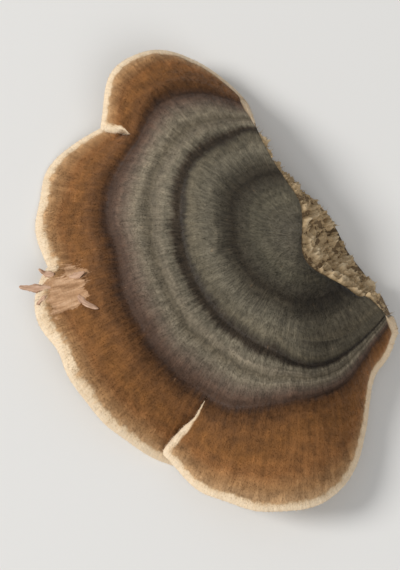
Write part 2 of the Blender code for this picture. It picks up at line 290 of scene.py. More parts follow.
# Floor, lights and camera, in metres and degrees. A place is an azimuth, an elevation and a distance
FLOOR_COLOUR = "#e3e1dd"
FLOOR_HALF = 2.0
Light = namedtuple("Light", "name place size energy")
LIGHTS = (Light("key", (-35.0, 38.0, 0.60), 0.24, 2.8), Light("fill", (85.0, 48.0, 0.70), 0.50, 1.3))
WORLD_COLOUR = (0.95, 0.97, 1.0, 1.0)
WORLD_STRENGTH = 0.36
CAMERA_LENS = 90.0
CAMERA_CLIP = (0.005, 10.0)
CAMERA_TARGET = (0.0, 0.0, 0.003)
CAMERA_PLACE = (60.0, 76.0, 0.094)


def smooth_step(low, high, value):
    """0 below low, 1 above high, and a smooth ramp between them."""
    share = np.clip((value - low) / (high - low), 0.0, 1.0)
    return share * share * (3.0 - 2.0 * share)


def bell(value, spread):
    """1 at 0, and falling smoothly to 0 on both sides."""
    return np.exp(-((value / spread) ** 2))


def through_points(points, at):
    """A smooth curve through a few points, read at the given places."""
    places, values = np.array(points, float).T
    slopes = np.gradient(values, places)
    index = np.clip(np.searchsorted(places, at, side="right") - 1, 0, len(places) - 2)
    width = places[index + 1] - places[index]
    u = (at - places[index]) / width
    rise = values[index + 1] - values[index]
    start_bend = slopes[index] * width - rise
    end_bend = rise - slopes[index + 1] * width
    return values[index] + rise * u + u * (1 - u) * ((1 - u) * start_bend + u * end_bend)


def noise(x, y, seed):
    """Smooth noise from -1 to 1 on a lattice of unit squares."""
    side = 256
    table = np.random.default_rng(seed).uniform(-1.0, 1.0, (side, side))
    column = np.floor(x).astype(int)
    row = np.floor(y).astype(int)
    u = smooth_step(0.0, 1.0, x - column)
    v = smooth_step(0.0, 1.0, y - row)
    left, right = column % side, (column + 1) % side
    low, high = row % side, (row + 1) % side
    near = table[left, low] * (1 - u) + table[right, low] * u
    far = table[left, high] * (1 - u) + table[right, high] * u
    return near * (1 - v) + far * v


def ripple(layer, across, along):
    """One layer of noise, from -1 to 1."""
    return noise(across / layer.wide, along / layer.long, layer.seed)


def rippled(layers, across, along):
    """Layers of noise added up, each at its own size."""
    return sum(layer.size * ripple(layer, across, along) for layer in layers)


def unit(vectors):
    length = np.linalg.norm(vectors, axis=-1, keepdims=True)
    return vectors / np.maximum(length, 1e-12)


# Formulas of the fan


def lobe_reach(lobe, angle):
    """Distance of the margin from the centre of growth."""
    return REACH * through_points([point[:2] for point in lobe.points], angle)


def lobe_height(lobe, angle):
    """Height of the margin's upper edge."""
    return MM * through_points([point[::2] for point in lobe.points], angle)


def blurred(of_lobe):
    """A value of the margin with its notches smoothed away, as a function of the angle."""
    step = 0.5
    angles = np.arange(LOBES[0].points[0][0], LOBES[-1].points[-1][0] + step, step)
    values = np.empty_like(angles)
    for lobe in LOBES:
        inside = angles >= lobe.points[0][0]
        values[inside] = of_lobe(lobe, angles[inside])
    reach = int(3 * LOBE_BLUR / step)
    kernel = np.exp(-0.5 * (np.arange(-reach, reach + 1) * step / LOBE_BLUR) ** 2)
    smooth = np.convolve(np.pad(values, reach, mode="edge"), kernel / kernel.sum(), mode="valid")
    return lambda angle: np.interp(angle, angles, smooth)


smooth_reach = blurred(lobe_reach)
smooth_height = blurred(lobe_height)


def cleft_at(lobe, angle, growth):
    """How open the clefts beside a point are, and how many degrees it moves over or under its neighbour."""
    openness = np.zeros_like(growth)
    shift = np.zeros_like(growth)
    for cleft in CLEFTS:
        if cleft.angle not in (lobe.points[0][0], lobe.points[-1][0]):
            continue
        away = np.abs(angle - cleft.angle) / CLEFT_WIDTH
        near = np.clip(1.0 - away, 0.0, 1.0) ** 2
        along = (growth - cleft.opens) / (1.0 - cleft.opens)
        risen = smooth_step(0.0, CLEFT_RISEN_BY, along)
        openness = np.maximum(openness, np.exp(-away * away) * risen)
        passing = cleft.overlap * smooth_step(CLEFT_PASSES_FROM, 1.0, along)
        parted = smooth_step(0.0, CLEFT_PARTED_BY, along)
        gap = CLEFT_GAP * parted * (1.0 - smooth_step(CLEFT_PASSES_FROM, CLEFT_RISEN_BY, along))
        side = 1.0 if cleft.angle == lobe.points[-1][0] else -1.0
        shift = shift + side * near * (passing - gap)
    return openness, shift


def across_fan(angle):
    """-1 at the fan's first side, 0 in its middle and 1 at its last side."""
    first = LOBES[0].points[0][0]
    last = LOBES[-1].points[-1][0]
    return (angle - first) / (last - first) * 2.0 - 1.0


def radius_share(angle, growth):
    """Distance from the centre of growth as a share of the margin's."""
    base_share = BASE_SHARE + BASE_SHARE_AT_SIDES * across_fan(angle) ** 2
    return growth + base_share * (1.0 - growth) ** BASE_SHARE_FADE


def core_reach(angle):
    """Distance from the centre of growth that the margin would have if it followed the inner rings."""
    return REACH * through_points(CORE, angle)


def scar_edge(x):
    """Place of the scar's upper edge: the wood's line with the bite in it."""
    return WOOD_Y - BITE_DEPTH * bell(x - SCAR_X, BITE_SPREAD)


def ring_radius(lobe, angle, growth):
    """Distance of a ring from the centre of growth: round near it, and like the margin further out."""
    scallop = smooth_step(LOBES_SHOW_FROM, 1.0, growth)
    margin = smooth_reach(angle) * (1 - scallop) + lobe_reach(lobe, angle) * scallop
    for size, waves, phase in CRENULATION:
        margin = margin + size * np.sin(np.radians(waves * angle + phase)) * growth**3
    core = core_reach(angle)
    outer = np.clip((growth - MARGIN_SHOWS_FROM) / (1.0 - MARGIN_SHOWS_FROM), 0.0, 1.0)
    return core * radius_share(angle, growth) - (core - margin) * outer**MARGIN_SHOWS_POWER


def fan_plan(lobe, angle, growth):
    """Plan of the upper side at an angle and a growth."""
    radius = ring_radius(lobe, angle, growth)
    _, shift = cleft_at(lobe, angle, growth)
    turned = np.radians(angle + shift)
    out_of_base = smooth_step(0.0, BASE_ENDS_AT, growth)
    scar_x = SCAR_X + across_fan(angle) * SCAR_HALF_WIDTH
    x = scar_x * (1 - out_of_base) + radius * np.sin(turned) * out_of_base
    y = scar_edge(scar_x) * (1 - out_of_base) - radius * np.cos(turned) * out_of_base
    return x, y


def near_scar(x, y, ends_at):
    """1 at the scar's upper edge and 0 from a distance in front of it."""
    return 1.0 - smooth_step(0.0, ends_at, scar_edge(x) - y)


def fan_height(lobe, angle, growth, relief):
    """Height of the upper side, with its rings at full relief or less."""
    openness, _ = cleft_at(lobe, angle, growth)
    rim = smooth_height(angle) * (1 - openness) + lobe_height(lobe, angle) * openness
    crest = through_points(CREST, growth) * MM
    margin_tells = smooth_step(MARGIN_TELLS_FROM, 1.0, growth) ** MARGIN_TELLS_POWER
    z = crest + (rim - CREST[-1][1] * MM) * margin_tells
    x, y = fan_plan(lobe, angle, growth)
    z = z - SHOULDER_DROP * (1.0 - bell(x - SCAR_X, SHOULDER_SPREAD)) * near_scar(x, y, SHOULDER_ENDS_AT)
    for size, waves, phase in RUFFLES:
        z = z + size * np.sin(np.radians(waves * angle + phase)) * growth**2
    share = drifted(angle, radius_share(angle, growth))
    relief = relief * smooth_step(0.0, RELIEF_FADES_FROM_SIDE, 1.0 - np.abs(across_fan(angle)))
    relief = relief * smooth_step(RINGS_CROWDED_AT, RINGS_FREE_AT, smooth_reach(angle) / core_reach(angle))
    for middle, half_width, height in RINGS:
        z = z + relief * height * MM * bell(share - middle, half_width)
    return z


def flesh_thickness(growth, x, y):
    """Thickness of the flesh: thin, thinnest at its rim, and thick over the foot."""
    fan = np.maximum(through_points(FLESH, growth) * MM, LEAST_FLESH)
    base = BASE_FLESH * bell(x - SCAR_X, BASE_FLESH_SPREAD) * near_scar(x, y, BASE_FLESH_ENDS_AT)
    return fan * (1.0 - RIM_THINNING * smooth_step(RIM_STARTS_AT, 1.0, growth)) + base


# Fine relief


def flow_of(x, y):
    """The grain of the fan, in millimetres: round the centre of growth, and away from it."""
    return np.arctan2(x, -y) * ARC_AT, np.hypot(x, y) / MM


def slanted(across, along):
    """The same place on a lattice turned against the grain, so that its rows don't show as a weave."""
    return across + 0.5 * along, along - 0.5 * across


def drifted(angle, share):
    """A ring's share where the rings leave the margin's outline."""
    for drift in DRIFTS:
        shift = through_points(drift.by_angle, angle)
        share = share + shift * bell(share - drift.middle, drift.spread)
    return share


def ring_share(angle, growth, x, y):
    """Distance from the centre of growth as a share of the margin's, also on the base."""
    turned = np.clip(np.degrees(np.arctan2(x, -y)), CORE[0][0], CORE[-1][0])
    on_fan = drifted(angle, radius_share(angle, growth))
    return np.where(growth < BASE_ENDS_AT, np.hypot(x, y) / core_reach(turned), on_fan)


def torn_share(angle, share, across, along):
    """1 where the skin is torn off, 0 where it is whole, with a soft ragged edge between."""
    middle, distance, half_angle, half_distance, _ = TORN
    away = np.hypot((angle - middle) / half_angle, (share - distance) / half_distance)
    leaning = across + TORN_LEAN * along
    ragged = 0.0
    for fray, sideways, lengthways in zip(TORN_FRAYS, (leaning, across, leaning), (along, leaning, along)):
        ragged = ragged + fray.size * ripple(fray, sideways, lengthways)
    return 1.0 - smooth_step(*TORN_BORDER, away + ragged)


def velvet_share(share):
    """How long the felt is at a distance from the centre of growth: the dark lines are nearly bare."""
    bare = np.zeros_like(share)
    for middle, half_width, height in RINGS:
        if height < BARE_RING_HEIGHT:
            bare = np.maximum(bare, bell(share - middle, 1.3 * half_width))
    return 1.0 - 0.8 * bare


def fine_relief(growth, share, across, along, torn):
    """Height that the fibrils, felt, wrinkles and fine rings add to the upper side."""
    height = rippled(FIBRILS, across, along)
    velvet = velvet_share(share)
    for layer in FELT_RELIEF:
        height += layer.size * velvet * ripple(layer, *slanted(across, along))
    for layer in WRINKLES:
        ridge = 1.0 - 2.0 * np.abs(ripple(layer, across, along))
        height += layer.size * growth * ridge
    size, spacing = FINE_RINGS
    warp = rippled(FINE_RINGS_WARP, across, along)
    height += size * (1.0 - 0.6 * velvet) * np.sin(2 * np.pi * (share + warp) / spacing)
    height -= TORN[4] * torn * (1.0 + rippled((TORN_FLOOR,), across, along))
    return height * MM


def pore_pits(x, y):
    """1 in the middle of a pore and 0 on the walls. Pores stand in staggered, uneven rows."""
    side = 64
    jitter = np.random.default_rng(51).uniform(-PORE_JITTER, PORE_JITTER, (side, side, 2))
    nearest = np.full(x.shape, np.inf)
    first_row = np.floor(y / PORE_ROW).astype(int)
    for row in (first_row, first_row + 1):
        stagger = 0.5 * (row % 2)
        first_column = np.floor(x / PORE_PITCH - stagger).astype(int)
        for column in (first_column, first_column + 1):
            away = jitter[row % side, column % side]
            middle_x = (column + stagger + away[..., 0]) * PORE_PITCH
            middle_y = (row + away[..., 1]) * PORE_ROW
            nearest = np.minimum(nearest, np.hypot(x - middle_x, y - middle_y))
    return 1.0 - smooth_step(*PORE_WALL, nearest / PORE_PITCH)


# The fan as one sheet of points

Sheet = namedtuple(
    "Sheet", "grids angle growth upper under bulge loop outward ring across along edge width torn pit"
)


def opening_row(angle, growths):
    """The row at which a lobe's first side parts from its neighbour."""
    for cleft in CLEFTS:
        if cleft.angle == angle:
            return int(np.searchsorted(growths, cleft.opens))
    return len(growths) - 1


def outline_of(grids, opens):
    """The sheet's outline as point numbers: up its first side, along the margin, in and out of each cleft,
    down its last side and back along the scar."""
    loop = list(grids[0][0, :])
    for number, grid in enumerate(grids):
        loop += list(grid[1:, -1])
        if number < len(grids) - 1 and opens[number] < ROWS:
            loop += list(grid[-1, opens[number] : -1][::-1])
            loop += list(grids[number + 1][0, opens[number] + 1 :])
    loop += list(grids[-1][-1, :-1][::-1])
    for grid in reversed(grids):
        loop += list(grid[:-1, 0][::-1])
    return np.array(loop[:-1])


def bulge_share(angle, growth):
    """How round the edge is: 1 along the margin, and 0 at the scar and at a cleft's inner end, where its
    lobes lie side by side and would swell into each other."""
    share = smooth_step(SIDES_ROUND_FROM, SIDES_ROUND_BY, growth)
    for cleft in CLEFTS:
        along = (growth - cleft.opens) / (1.0 - cleft.opens)
        in_cleft = np.isclose(angle, cleft.angle, atol=0.01)
        share = np.where(in_cleft, smooth_step(*CLEFT_ROUNDS_OVER, along), share)
    return share


def cream_width(number, angle, growth):
    """How wide the cream line is along a lobe's edge, in millimetres. A side that lies under its neighbour
    has none, and it fades towards the wood and into a cleft."""
    lobe = LOBES[number]
    width = through_points(CREAM, angle) * smooth_step(CREAM_FROM, CREAM_FULL_AT, growth)
    for cleft in CLEFTS:
        for side, other in ((0, number - 1), (-1, number + 1)):
            if cleft.angle != lobe.points[side][0]:
                continue
            here = np.isclose(angle, cleft.angle, atol=0.01) & (growth < 1.0)
            above = lobe.points[side][2] > LOBES[other].points[-1 - side][2]
            in_cleft = CREAM_IN_CLEFT + (1.0 - CREAM_IN_CLEFT) * smooth_step(cleft.opens, 1.0, growth)
            tapered = smooth_step(cleft.opens, cleft.opens + CREAM_TAPERS_OVER, growth)
            width = np.where(here, width * in_cleft * tapered * above, width)
    return width


def edge_share(points, leaf, width, loop):
    """Distance of each point from its own leaf's free edge, as a share of the cream line's width there."""
    share = np.full(len(points), np.inf)
    for number in np.unique(leaf):
        free = loop[(leaf[loop] == number) & (width[loop] > 0.02)]
        tree = KDTree(len(free))
        for index, point in enumerate(points[free]):
            tree.insert(point, index)
        tree.balance()
        own = np.flatnonzero(leaf == number)
        found = [tree.find(point)[1:] for point in points[own]]
        nearest = np.array([index for index, _ in found])
        share[own] = np.array([distance for _, distance in found]) / MM / width[free[nearest]]
    return share


def row_growths():
    """The rows' growths, closer together near the margin."""
    return 1.0 - (1.0 - np.linspace(0.0, 1.0, ROWS + 1)) ** ROWS_CROWD


def lay_sheet():
    """Lays the lobes' grids side by side, with their shared points once, and works out every value."""
    growths = row_growths()
    grids, opens, parts = [], [], []
    count = 0
    for number, lobe in enumerate(LOBES):
        columns = np.linspace(lobe.points[0][0], lobe.points[-1][0], lobe.columns + 1)
        angle, growth = np.meshgrid(columns, growths, indexing="ij")
        own = np.ones(angle.shape, bool)
        grid = np.empty(angle.shape, int)
        if number:
            opens.append(opening_row(lobe.points[0][0], growths))
            own[0, : opens[-1] + 1] = False
            grid[~own] = grids[-1][-1, : opens[-1] + 1]
        grid[own] = count + np.arange(own.sum())
        count += own.sum()
        grids.append(grid)

        x, y = fan_plan(lobe, angle, growth)
        z = fan_height(lobe, angle, growth, 1.0)
        below = fan_height(lobe, angle, growth, UNDERSIDE_RELIEF) - flesh_thickness(growth, x, y)
        leaf = np.full(angle.shape, sum(lobe.points[0][0] >= cleft.angle for cleft in CLEFTS))
        width = cream_width(number, angle, growth)
        values = (angle, growth, x, y, z, below, bulge_share(angle, growth), leaf, width)
        parts.append([value[own] for value in values])
    angle, growth, x, y, z, below, bulge, leaf, width = (np.concatenate(part) for part in zip(*parts))

    across, along = flow_of(x, y)
    share = ring_share(angle, growth, x, y)
    torn = torn_share(angle, share, across, along)
    loop = outline_of(grids, opens)
    edge = edge_share(np.stack([x, y, z], axis=-1), leaf, width, loop)
    distance = edge * through_points(CREAM, angle)
    rounding_above, rounding_below, inward = EDGE_ROUNDING
    z = z + fine_relief(growth, share, across, along, torn) * smooth_step(0.0, RELIEF_GROWS_OVER, growth)
    z = z - rounding_above * MM * bell(distance, inward) * bulge

    back = FOOT_BACK * bell(x - SCAR_X, FOOT_SPREAD) * near_scar(x, y, FOOT_ENDS_AT)
    fertile = smooth_step(BARREN_STRIP, BARREN_STRIP + BARREN_STRIP_FADES, distance)
    pit = pore_pits(x / MM, (y + back - below) / MM) * fertile * smooth_step(*PORES_START, growth)
    wavy = rippled((UNDERSIDE_WAVES,), across, along) * smooth_step(*UNDERSIDE_WAVES_START, growth)
    below = np.maximum(below + wavy * MM, 0.0) + PORE_DEPTH * MM * pit
    below = below + rounding_below * MM * bell(distance, inward) * bulge

    stray = rippled(ZONES_STRAY, across, along) * smooth_step(*STRAYING_STARTS, share)
    ring = share + stray * (1.0 - smooth_step(*STRAYING_ENDS, share))
    upper = np.stack([x, y, z], axis=-1) + GROWTH_CENTRE
    under = np.stack([x, y + back, below], axis=-1) + GROWTH_CENTRE
    ahead = np.roll(upper[loop], -1, axis=0) - np.roll(upper[loop], 1, axis=0)
    outward = unit(np.stack([ahead[:, 1], -ahead[:, 0], np.zeros(len(loop))], axis=-1))
    shape = (grids, angle, growth, upper, under, bulge, loop, outward)
    return Sheet(*shape, ring, across, along, edge, width, torn, pit)


def on_rim(sheet, places, down):
    """Points of the rounded edge at some places of the outline, from 0 at its top to 1 at its bottom."""
    down = np.broadcast_to(down, len(places))[:, None]
    own = sheet.loop[places]
    swell = RIM_BULGE * sheet.bulge[own][:, None] * np.sin(np.pi * down)
    return sheet.upper[own] * (1 - down) + sheet.under[own] * down + sheet.outward[places] * swell


# Meshes


def make_mesh(name, points, faces, slots=None):
    mesh = bpy.data.meshes.new(name)
    mesh.from_pydata(np.asarray(points).tolist(), [], faces if isinstance(faces, list) else faces.tolist())
    if slots is not None:
        mesh.polygons.foreach_set("material_index", np.asarray(slots, np.int32))
    mesh.shade_smooth()
    mesh.update()
    piece = bpy.data.objects.new(name, mesh)
    bpy.context.scene.collection.objects.link(piece)
    return piece


def add_attribute(piece, name, values):
    """Stores a number or a vector for each point."""
    values = np.asarray(values, np.float32)
    if values.ndim == 1:
        attribute = piece.data.attributes.new(name, "FLOAT", "POINT")
        attribute.data.foreach_set("value", values)
    else:
        attribute = piece.data.attributes.new(name, "FLOAT_VECTOR", "POINT")
        attribute.data.foreach_set("vector", values.ravel())


def finish_piece(piece, materials, **values):
    """Gives a piece its values for each point, its materials and body, and hides the CAD node it stands for.
    """
    for name, each in values.items():
        add_attribute(piece, name, each)
    for material in materials:
        piece.data.materials.append(material)
    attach(piece, BODY)
    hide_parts(NODE)


def grid_faces(grid):
    """The quads of a grid of point numbers."""
    corners = (grid[:-1, :-1], grid[:-1, 1:], grid[1:, 1:], grid[1:, :-1])
    return np.stack([corner.ravel() for corner in corners], axis=-1)


def make_fan(sheet, skin, pored, scar):
    """The whole bracket as one closed mesh: upper side, underside and rounded edge."""
    loop = sheet.loop
    upper, under = sheet.upper, sheet.under
    count = len(upper)
    rows = [loop]
    rim = []
    for row in range(1, RIM_ROWS):
        rim.append(on_rim(sheet, np.arange(len(loop)), row / RIM_ROWS))
        rows.append(2 * count + (row - 1) * len(loop) + np.arange(len(loop)))
    rows.append(loop + count)

    top_faces = np.concatenate([grid_faces(grid) for grid in sheet.grids])
    walls = []
    for here, below in zip(rows[:-1], rows[1:]):
        walls.append(np.stack([here, below, np.roll(below, -1), np.roll(here, -1)], axis=-1))
    broken = (sheet.growth[loop] < CRUST_TO_GROWTH) & (sheet.growth[np.roll(loop, -1)] < CRUST_TO_GROWTH)
    wall_slots = np.tile(np.where(broken, 2, 0), RIM_ROWS)
    faces = np.concatenate([top_faces, top_faces[:, ::-1] + count] + walls)
    slots = np.concatenate([np.zeros(len(top_faces)), np.ones(len(top_faces)), wall_slots])
    fan = make_mesh("turkey_tail_fan", np.concatenate([upper, under] + rim), faces, slots)

    pick = np.concatenate([np.arange(count), np.arange(count), np.tile(loop, RIM_ROWS - 1)])
    rim_points = len(loop) * (RIM_ROWS - 1)
    flow = np.stack([sheet.across, sheet.along, sheet.ring * REACH / MM], axis=-1)[pick]
    flesh = FLESH_TONE * (1.0 - smooth_step(0.10, 0.30, sheet.width[loop]))
    edge = np.concatenate([sheet.edge, sheet.edge, np.tile(flesh, RIM_ROWS - 1)])
    pit = np.concatenate([np.zeros(count), sheet.pit, np.zeros(rim_points)])
    ring, torn, tuft = sheet.ring[pick], sheet.torn[pick], np.full(len(pick), 0.5)
    finish_piece(fan, (skin, pored, scar), ring=ring, torn=torn, edge=edge, flow=flow, pit=pit, tuft=tuft)


def make_needles(name, roots, tips, widths, material, **values):
    """Slim three-sided needles, each a closed body of four faces, with values for each needle."""
    along = unit(tips - roots)
    side = unit(np.cross(along, np.array(NEEDLE_SIDE)))
    other = np.cross(along, side)
    corners = []
    for turn in np.radians((0.0, 120.0, 240.0)):
        corners.append(roots + widths[:, None] * (np.cos(turn) * side + np.sin(turn) * other))
    points = np.stack(corners + [tips], axis=1).reshape(-1, 3)
    shape = np.array([(0, 1, 2), (0, 3, 1), (1, 3, 2), (2, 3, 0)])
    faces = (np.arange(len(roots))[:, None, None] * 4 + shape).reshape(-1, 3)
    needles = make_mesh(name, points, faces)
    values = {label: np.repeat(each, 4, axis=0) for label, each in values.items()}
    finish_piece(needles, (material,), **values)


def scattered(sheet, count, weight, rng):
    """Random places on the upper side: corner numbers, the corners' shares, normal and growth direction."""
    faces = np.concatenate([grid_faces(grid) for grid in sheet.grids])
    a, b, c, d = (sheet.upper[faces[:, corner]] for corner in range(4))
    normal = np.cross(c - a, b - d)
    chance = np.linalg.norm(normal, axis=1) * weight(sheet.ring[faces].mean(axis=1))
    picked = rng.choice(len(faces), count, p=chance / chance.sum())
    u, v = rng.random((2, count))
    shares = np.stack([(1 - u) * (1 - v), (1 - u) * v, u * v, u * (1 - v)], axis=-1)
    return faces[picked], shares, unit(normal[picked]), unit((b + c - a - d)[picked])


def mixed(values, corners, shares):
    """A value of the sheet at scattered places."""
    if values.ndim == 1:
        return (values[corners] * shares).sum(axis=1)
    return (values[corners] * shares[..., None]).sum(axis=1)


def make_felt(name, sheet, weight, seed, material):
    """One felt of short hairs that lie along the growth."""
    rng = np.random.default_rng(seed)
    corners, shares, normal, forward = scattered(sheet, FELT.count, weight, rng)
    values = (sheet.ring, sheet.edge, sheet.torn, sheet.across, sheet.along, sheet.upper)
    ring, edge, torn, across, along, roots = (mixed(each, corners, shares) for each in values)
    clump = ripple(FELT_CLUMPS, *slanted(across, along))
    sideways = np.cross(normal, forward)
    lean = FELT.stray * rng.standard_normal(FELT.count) + FELT_CLUMPS.size * clump
    rise = rng.uniform(*FELT_RISE, FELT.count)
    heading = unit(forward + sideways * lean[:, None] + normal * rise[:, None])
    length = rng.uniform(*FELT.length, FELT.count) * (0.35 + 0.65 * velvet_share(ring))
    length = length * (1.0 - 0.85 * torn) * MM
    roots = roots - normal * FELT.root * MM
    tips = roots + heading * length[:, None]
    tips[:, 2] = np.maximum(tips[:, 2], OFF_FLOOR * MM)
    widths = np.full(FELT.count, FELT.width * MM)
    flow = np.stack([across, along, ring * REACH / MM], axis=-1)
    tuft = np.clip(0.5 + 0.20 * rng.standard_normal(FELT.count) + 0.25 * clump, 0.0, 1.0)
    make_needles(name, roots, tips, widths, material, ring=ring, edge=edge, torn=torn, flow=flow, tuft=tuft)


def make_fuzz(sheet, material):
    """Short pale down round the free margin."""
    rng = np.random.default_rng(83)
    count = FUZZ.count
    free = np.flatnonzero(sheet.growth[sheet.loop] > SIDES_ROUND_BY)
    places = free[rng.integers(0, len(free), count)]
    start = sheet.loop[places]
    down = rng.uniform(0.0, 1.0, count)
    step = np.roll(sheet.upper[sheet.loop], -1, axis=0) - sheet.upper[sheet.loop]
    roots = on_rim(sheet, places, down) + step[places] * rng.uniform(0.0, 1.0, (count, 1))
    heading = unit(sheet.outward[places] + FUZZ.stray * rng.standard_normal((count, 3)))
    roots = roots - heading * FUZZ.root * MM
    tips = roots + heading * rng.uniform(*FUZZ.length, (count, 1)) * MM
    roots[:, 2] = np.maximum(roots[:, 2], OFF_FLOOR * MM)
    tips[:, 2] = np.maximum(tips[:, 2], OFF_FLOOR * MM)
    widths = np.full(count, FUZZ.width * MM)
    none = np.zeros(count)
    values = {"ring": sheet.ring[start], "edge": none, "torn": none, "flow": sheet.upper[start] / MM}
    tuft = rng.uniform(0.3, 0.8, count)
    make_needles("margin_fuzz", roots, tips, widths, material, **values, tuft=tuft)


def ground_under(sheet, x, y):
    """Height of the upper side under a short path, smoothed along it."""
    nearest = [np.argmin(np.hypot(sheet.upper[:, 0] - a, sheet.upper[:, 1] - b)) for a, b in zip(x, y)]
    height = np.pad(sheet.upper[nearest, 2], 3, mode="edge")
    return np.convolve(height, np.full(7, 1.0 / 7.0), mode="valid")


def make_shreds(sheet, material):
    """Torn strips of skin and flesh: flat, tapered and curled, each a closed body."""
    steps, sides = 24, 12
    twist, twists = SHRED_TWIST
    rng = np.random.default_rng(113)
    along = np.linspace(0.0, 1.0, steps)
    around = np.linspace(0.0, 2 * np.pi, sides, endpoint=False)
    points, faces, flows = [], [], []
    for shred in SHREDS:
        away = np.hypot((sheet.angle - shred.angle) / 3.0, (sheet.ring - shred.share) / 0.05)
        start = int(np.argmin(away))
        turn = math.radians(shred.angle + shred.heading)
        bend = turn + shred.curl * along
        reach = shred.length * along * MM
        x = sheet.upper[start, 0] + reach * np.sin(bend)
        y = sheet.upper[start, 1] - reach * np.cos(bend)
        own_line = np.full(steps, float(start))
        lifted = shred.lift * along**1.5 + rippled((SHRED_FLUTTER,), along, own_line)
        rooted = SHRED_ROOT * (1.0 - smooth_step(0.0, 0.25, along))
        middle = np.stack([x, y, ground_under(sheet, x, y) + (lifted - rooted) * MM], axis=-1)
        side = np.stack([np.cos(bend), np.sin(bend), twist * np.sin(along * twists + start)], axis=-1)
        narrowing = 1.0 - SHRED_NARROWS_TO
        taper = (SHRED_NARROWS_TO + narrowing * smooth_step(0.0, 0.3, along)) * (1.0 - narrowing * along**2)
        taper = taper * (1.0 + rippled((SHRED_RAGGED,), along, own_line))
        half = 0.5 * shred.width * MM * taper * np.sqrt(np.maximum(1.0 - along**12, 0.05))
        thick = 0.5 * SHRED_THICKNESS * MM * (1.0 - 0.5 * along)
        rough = 1.0 + SHRED_ROUGH * rng.standard_normal((steps, sides))
        ring = middle[:, None] + (half[:, None] * np.cos(around) * rough)[..., None] * unit(side)[:, None]
        ring[..., 2] += thick[:, None] * np.sin(around) * rough
        first = sum(len(part) for part in points)
        grid = first + np.arange(steps * sides).reshape(steps, sides)
        grid = np.concatenate([grid, grid[:, :1]], axis=1)
        faces += grid_faces(grid)[:, ::-1].tolist()
        faces.append(grid[0, :-1].tolist())
        faces.append(grid[-1, -2::-1].tolist())
        points.append(ring.reshape(-1, 3))
        strands = half[:, None] * np.cos(around) / MM
        lengths = np.broadcast_to(reach[:, None] / MM + start, strands.shape)
        flows.append(np.stack([strands, lengths, np.zeros_like(strands)], axis=-1).reshape(-1, 3))
    piece = make_mesh("torn_shreds", np.concatenate(points), faces)
    finish_piece(piece, (material,), flow=np.concatenate(flows))


def scar_face(sheet):
    """Points of the smooth scar face, from its upper edge down to its foot, evenly spaced along it."""
    last = int(np.searchsorted(row_growths(), CRUST_TO_GROWTH))
    path = list(sheet.grids[0][0, last:0:-1])
    for number, grid in enumerate(sheet.grids):
        path += list(grid[1:, 0]) if number else list(grid[:, 0])
    path += list(sheet.grids[-1][-1, 1:last])
    top, foot = sheet.upper[path], sheet.under[path]
    steps = np.linalg.norm(np.diff((top + foot) / 2.0, axis=0), axis=1)
    length = np.concatenate([[0.0], np.cumsum(steps)])
    even = np.linspace(0.0, length[-1], CRUST_ALONG)
    top = np.stack([np.interp(even, length, top[:, axis]) for axis in range(3)], axis=-1)
    foot = np.stack([np.interp(even, length, foot[:, axis]) for axis in range(3)], axis=-1)
    down = np.linspace(0.0, 1.0, CRUST_DOWN)[None, :, None]
    return top[:, None] * (1 - down) + foot[:, None] * down, even / MM


def make_crust(sheet, material):
    """The scar's broken flesh: a closed, crumbly crust on the smooth face. Gives its front and normals."""
    face, even = scar_face(sheet)
    down_face = face[:, -1] - face[:, 0]
    outward = unit(np.cross(np.gradient(face, axis=0), down_face[:, None]))
    outward = outward * np.sign(outward[..., 1].mean())
    height = np.linalg.norm(down_face, axis=1) / MM
    along = np.broadcast_to(even[:, None], face.shape[:2])
    share = np.broadcast_to(np.linspace(0.0, 1.0, CRUST_DOWN)[None], face.shape[:2])
    down = share * height[:, None]
    crumb = np.zeros(face.shape[:2])
    leaning = along + CRUMB_LEAN * down
    for layer in CRUMBS:
        lump = 2.0 * np.abs(ripple(layer, leaning, down - CRUMB_LEAN * along)) - 0.5
        crumb += layer.size * (lump if layer is CRUMBS[0] else -lump)
    wander = rippled((CRUST_FIBRES_WANDER,), along, down)
    for layer in CRUST_FIBRES:
        crumb += layer.size * ripple(layer, along + wander + CRUST_FIBRES_LEAN * down, down)
    crumb -= CRUST_PITS.size * smooth_step(*CRUST_PITS_FROM, ripple(CRUST_PITS, along, down))
    from_rim = np.minimum(down, (1.0 - share) * height[:, None])
    border = smooth_step(*CRUST_BORDER, from_rim + rippled((CRUST_BORDER_FRAYS,), along, down))
    from_end = np.minimum(along, even[-1] - along)
    ends = smooth_step(0.1, CRUST_FADES_OVER, from_end + rippled((CRUST_END_FRAYS,), along, down))
    proud = (CRUST_PROUD + crumb) * border * ends - CRUST_SUNK * (1.0 - border * ends)
    front = face + outward * (proud * MM)[..., None]
    front[..., 2] = np.maximum(front[..., 2], 0.0)
    back = face - outward * CRUST_DEPTH * MM
    back[..., 2] = np.maximum(back[..., 2], 0.02 * MM)

    grid = np.arange(front[..., 0].size).reshape(front.shape[:2])
    loop = np.concatenate([grid[:-1, 0], grid[-1, :-1], grid[:0:-1, -1], grid[0, :0:-1]])
    behind = loop + grid.size
    sides = np.stack([loop, np.roll(loop, -1), np.roll(behind, -1), behind], axis=-1)
    faces = np.concatenate([grid_faces(grid), grid_faces(grid)[:, ::-1] + grid.size, sides])
    crust = make_mesh("broken_flesh", np.concatenate([front.reshape(-1, 3), back.reshape(-1, 3)]), faces)
    flow = np.stack([along, down, np.zeros_like(down)], axis=-1).reshape(-1, 3)
    # The crust's tone follows its crumbs' height: painted shade in the crevices and a painted shadow along
    # its border
    tone_and_shade = np.clip(0.55 + crumb.ravel() / 1.1, 0.0, 1.0) * (0.45 + 0.55 * border.ravel())
    finish_piece(crust, (material,), flow=np.tile(flow, (2, 1)), crumb=np.tile(tone_and_shade, 2))
    return front, outward


